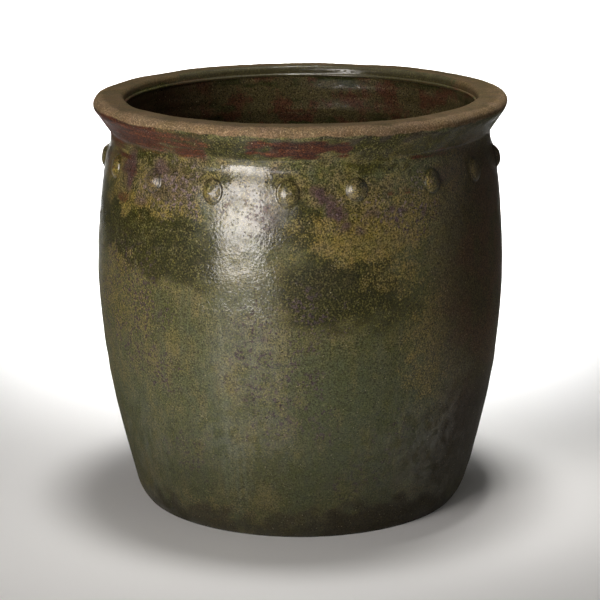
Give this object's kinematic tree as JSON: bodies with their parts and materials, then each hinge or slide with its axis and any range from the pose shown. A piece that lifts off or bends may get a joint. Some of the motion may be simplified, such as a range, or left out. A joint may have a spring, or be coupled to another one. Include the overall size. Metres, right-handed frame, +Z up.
{
  "type": "ceramic floor planter",
  "caption": "Large round ceramic planter with a bellied wall, flared collar, thick bare clay lip, a ring of studs on the shoulder and a drain hole in its base.",
  "frame": {"origin": "on the floor, in the middle of the foot ring that the planter rests on", "axes": "+Z up the pot's own axis, -Y towards the side that the picture shows, +X to the right of that side"},
  "size_m": [0.5599, 0.56, 0.558],
  "materials": {
    "glaze": "glossy olive and brown reactive glaze, pitted and mottled",
    "bare_clay": "matte bare fired clay, rubbed and grainy"
  },
  "bodies": {
    "root": {"floor_slab": "glaze", "lower_wall": "glaze", "upper_wall": "glaze", "flared_collar": "glaze", "rim_lip": "bare_clay", "stud_01": "glaze", "stud_02": "glaze", "stud_03": "glaze", "stud_04": "glaze", "stud_05": "glaze", "stud_06": "glaze", "stud_07": "glaze", "stud_08": "glaze", "stud_09": "glaze", "stud_10": "glaze", "stud_11": "glaze", "stud_12": "glaze", "stud_13": "glaze", "stud_14": "glaze", "stud_15": "glaze", "stud_16": "glaze"}
  },
  "joints": []
}
